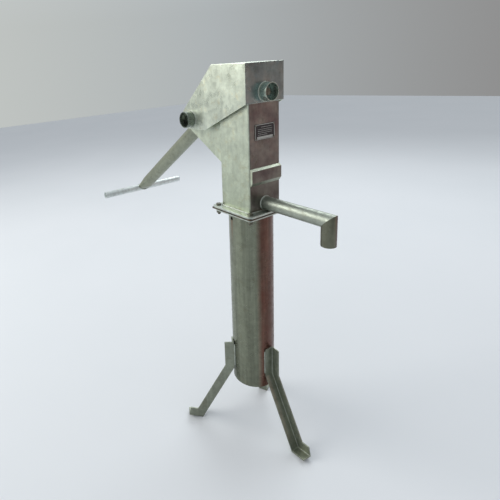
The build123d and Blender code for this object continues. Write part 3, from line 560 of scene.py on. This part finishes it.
def leg_root(heel_r):
    """Radius and height of the points along a leg's inner corner, top to toe."""
    slant = math.atan2(heel_r - TUBE_R, LEG_BEND_Z - FOOT_Z)
    normals = [
        Vector((1, 0)), Vector((math.cos(slant), math.sin(slant))),
        Vector((-math.sin(FOOT_TILT), math.cos(FOOT_TILT))),
    ]
    heel = Vector((heel_r, FOOT_Z))
    toe = heel + Vector((math.cos(FOOT_TILT), math.sin(FOOT_TILT))) * FOOT_LENGTH
    points = [Vector((TUBE_R, LEG_TOP_Z)) + normals[0] * LEG_T]
    for corner, first, second in (
        (Vector((TUBE_R, LEG_BEND_Z)), normals[0], normals[1]), (heel, normals[1], normals[2])
    ):
        points.append(corner + (first + second) * (LEG_T / (1 + first.dot(second))))
    points.append(toe + normals[2] * LEG_T)
    return points


for tag, (azimuth, heel_r) in LEGS.items():
    turn = math.radians(azimuth)
    outward = Vector((math.cos(turn), math.sin(turn), 0))
    aside = Vector((-math.sin(turn), math.cos(turn), 0))
    for word, along, lift, size in LEG_WELDS:
        skin = math.sqrt(TUBE_R**2 - along**2) + lift
        start = outward * skin + aside * along
        bead(f"weld_leg_{tag}_{word}",
             [start + Vector((0, 0, WELD_FOOT_Z)), start + Vector((0, 0, WELD_HEAD_Z))],
             size, "stand")
    inside = LEG_CORNER - LEG_T
    bead(f"zinc_run_{tag}",
         [outward * (r + HAIR) + aside * (inside - HAIR) + Vector((0, 0, z + RUN_LIFT))
          for r, z in leg_root(heel_r)], RUN_SIZE, "stand", ripple=RUN_RIPPLE)

# Lever: beads round the saddles at the fulcrum housing and at the cross bar.
fulcrum = (housing_low + housing_high) / 2
bar = (bar_low + bar_high) / 2
lever_dir = (bar - fulcrum).normalized()
lever_up = lever_dir.cross(Vector((0, 1, 0))).normalized()
housing_r = (housing_high.z - housing_low.z) / 2
bar_r = (bar_high.z - bar_low.z) / 2
# The lever's mouth is flattened and widened where it meets the cross bar.
MOUTH_HALF_WIDTH, MOUTH_RISE, MOUTH_BACK = 0.0362, 1.04, 0.001
LEVER_WELD = 0.0028
saddle_in, saddle_out = [], []
for k in range(RING_POINTS):
    turn = 2 * math.pi * k / RING_POINTS
    rise = housing_r * math.sin(turn)
    out = math.sqrt(max(0.0, housing_r**2 - rise**2))
    saddle_in.append(fulcrum + lever_dir * out + lever_up * rise
                     + Vector((0, housing_r * math.cos(turn), 0)))
    rise = bar_r * math.sin(turn)
    back = math.sqrt(max(0.0, bar_r**2 - rise**2))
    saddle_out.append(bar - lever_dir * (back + MOUTH_BACK) + lever_up * rise * MOUTH_RISE
                      + Vector((0, MOUTH_HALF_WIDTH * math.cos(turn), 0)))
bead("weld_lever_housing", saddle_in, LEVER_WELD, "lever", True)
bead("weld_cross_bar", saddle_out, WELD_SMALL, "lever", True)
for tag, side in (("right", -1), ("left", 1)):
    low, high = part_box("fork_arm_" + tag)
    face = low.y if side < 0 else high.y
    bead("weld_fork_" + tag, ring((fulcrum.x, face, fulcrum.z), (0, 1, 0), housing_r + HAIR),
         WELD_SMALL, "lever", True)

# ------------------------------------------------------------ name plate relief
# A raised rim and a few plain rules, with no lettering.


def slab(name, boxes, finish, body, edge):
    """Small raised bars: rounded boxes given by their lowest and highest corners."""
    verts, faces = [], []
    for low, high in boxes:
        first = len(verts)
        for i in range(8):
            verts.append((
                high[0] if i & 1 else low[0], high[1] if i & 2 else low[1], high[2] if i & 4 else low[2],
            ))
        for face in ((0, 4, 6, 2), (1, 3, 7, 5), (0, 1, 5, 4), (2, 6, 7, 3), (0, 2, 3, 1), (4, 5, 7, 6)):
            faces.append(tuple(first + i for i in face))
    relief = bpy.data.meshes.new(name)
    relief.from_pydata(verts, [], faces)
    relief.update()
    piece = bpy.data.objects.new(name, relief)
    scene.collection.objects.link(piece)
    round_off = piece.modifiers.new("round", "BEVEL")
    round_off.width = edge
    round_off.segments = 2
    piece.data.materials.append(finish)
    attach(piece, body)
    return piece


plate_low, plate_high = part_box("name_plate")
RIM, INSET, PROUD, SUNK, EDGE = 0.0022, 0.0012, 0.0004, 0.0001, 0.00015
RULE_HEIGHT, STRIP_HEIGHT = 0.0011, 0.0075
# Each rule's height on the plate, and where it starts and ends across it.
RULES = (
    (0.80, 0.30, 0.84), (0.66, 0.14, 0.86), (0.54, 0.14, 0.86), (0.42, 0.14, 0.86),
    (0.30, 0.14, 0.62),
)
STRIP = (0.06, 0.10, 0.90)
x0, x1 = plate_high.x - SUNK, plate_high.x + PROUD
ya, yb = plate_low.y + INSET, plate_high.y - INSET
za, zb = plate_low.z + INSET, plate_high.z - INSET
rim = [
    ((x0, ya, za), (x1, yb, za + RIM)), ((x0, ya, zb - RIM), (x1, yb, zb)),
    ((x0, ya, za + RIM), (x1, ya + RIM, zb - RIM)), ((x0, yb - RIM, za + RIM), (x1, yb, zb - RIM)),
]
lines = [(*rule, RULE_HEIGHT) for rule in RULES] + [(*STRIP, STRIP_HEIGHT)]
rules = []
for share, left, right, tall in lines:
    z = za + (zb - za) * share
    rules.append(((x0, ya + (yb - ya) * left, z), (x1, ya + (yb - ya) * right, z + tall)))
slab("plate_relief", rim + rules, plate_metal, "stand", EDGE)

# ---------------------------------------------------------------------- stage
FLOOR_Z = cad_box[0].z
FLOOR_HALF = 14.0


def floor_finish():
    m = Maker("pale_floor")
    cloud = m.noise(0.8, 4.0)
    base = m.mix(cloud, (0.66, 0.68, 0.70), (0.72, 0.73, 0.75))
    rough = m.math("MULTIPLY_ADD", cloud, 0.2, 0.6)
    return m.done(base, rough, m.bump(m.noise(90.0, 3.0), 0.0005, 0.2), 0.0)


mesh = bpy.data.meshes.new("floor")
corners = [(-1, -1), (1, -1), (1, 1), (-1, 1)]
mesh.from_pydata([(FLOOR_HALF * x, FLOOR_HALF * y, FLOOR_Z) for x, y in corners], [], [(0, 1, 2, 3)])
floor = bpy.data.objects.new("floor", mesh)
scene.collection.objects.link(floor)
floor.data.materials.append(floor_finish())

# --------------------------------------------------------------------- camera
EYE = Vector((1.0835, -1.05576, 1.25858))
YAW, PITCH, ROLL = 2.6167, -0.2435, -0.0806
SENSOR_MM, LENS_MM = 36.0, 29.3936
SHIFT_X, SHIFT_Y = 0.20, -0.15
NEAREST = 0.05

ahead = Vector((math.cos(YAW) * math.cos(PITCH), math.sin(YAW) * math.cos(PITCH), math.sin(PITCH)))
level = Vector((math.sin(YAW), -math.cos(YAW), 0))
above = level.cross(ahead)
across = math.cos(ROLL) * level + math.sin(ROLL) * above
upward = math.cos(ROLL) * above - math.sin(ROLL) * level
lens = bpy.data.cameras.new("camera")
camera = bpy.data.objects.new("camera", lens)
scene.collection.objects.link(camera)
pose = Matrix((across, upward, -ahead)).transposed().to_4x4()
pose.translation = EYE
camera.matrix_world = pose
lens.sensor_width = SENSOR_MM
lens.lens = LENS_MM
lens.shift_x = SHIFT_X
lens.shift_y = SHIFT_Y
lens.clip_start = NEAREST
scene.camera = camera

# ---------------------------------------------------------------------- light
world = bpy.data.worlds.new("studio")
scene.world = world
world.use_nodes = True


def studio_air(tree):
    """Soft surround: pale overhead, light on one side of the horizon and dim and warm opposite."""
    way = tree.nodes.new("ShaderNodeTexCoord").outputs["Generated"]
    split = tree.nodes.new("ShaderNodeSeparateXYZ")
    tree.links.new(way, split.inputs[0])
    lean = tree.nodes.new("ShaderNodeVectorMath")
    lean.operation = "DOT_PRODUCT"
    tree.links.new(way, lean.inputs[0])
    lean.inputs[1].default_value = (0.707, 0.707, 0.0)
    ramps = []
    for value, low, high, stops in (
        (lean.outputs["Value"], -1.0, 1.0, HORIZON), (split.outputs[2], 0.0, 1.0, RISE)
    ):
        span = tree.nodes.new("ShaderNodeMapRange")
        tree.links.new(value, span.inputs["Value"])
        span.inputs["From Min"].default_value = low
        span.inputs["From Max"].default_value = high
        ramp = tree.nodes.new("ShaderNodeValToRGB")
        tree.links.new(span.outputs["Result"], ramp.inputs[0])
        while len(ramp.color_ramp.elements) < len(stops):
            ramp.color_ramp.elements.new(0.5)
        for element, (at, tone) in zip(ramp.color_ramp.elements, stops):
            element.position = at
            element.color = (*tone, 1)
        ramps.append(ramp.outputs[0])
    blend = tree.nodes.new("ShaderNodeMix")
    blend.data_type = "RGBA"
    tree.links.new(ramps[1], blend.inputs[0])
    tree.links.new(ramps[0], blend.inputs[6])
    blend.inputs[7].default_value = (*OVERHEAD, 1)
    tree.links.new(blend.outputs[2], tree.nodes["Background"].inputs["Color"])


HORIZON = [(0.0, (0.62, 0.64, 0.60)), (0.45, (0.42, 0.45, 0.46)), (1.0, (0.13, 0.10, 0.09))]
RISE = [(0.12, (0.0, 0.0, 0.0)), (0.55, (1.0, 1.0, 1.0))]
OVERHEAD = (0.62, 0.66, 0.70)
studio_air(world.node_tree)


def softbox(name, where, target, size, power, colour):
    light = bpy.data.lights.new(name, "AREA")
    light.shape = "RECTANGLE"
    light.size, light.size_y = size
    light.energy = power
    light.color = colour
    lamp = bpy.data.objects.new(name, light)
    scene.collection.objects.link(lamp)
    lamp.location = where
    lamp.rotation_mode = "QUATERNION"
    lamp.rotation_quaternion = (Vector(target) - Vector(where)).to_track_quat("-Z", "Y")


MIDDLE = (0.0, 0.0, 0.7)
softbox("key", (-3.0, -3.4, 3.2), MIDDLE, (3.6, 3.0), 135.0, (1.0, 0.99, 0.95))
softbox("back", (-1.8, 3.6, 4.2), MIDDLE, (4.6, 2.6), 115.0, (0.93, 0.98, 1.0))
softbox("warm_fill", (2.8, 2.2, 0.6), (0.0, 0.0, 0.3), (2.0, 1.2), 4.0, (1.0, 0.50, 0.40))
scene.view_settings.view_transform = "Standard"
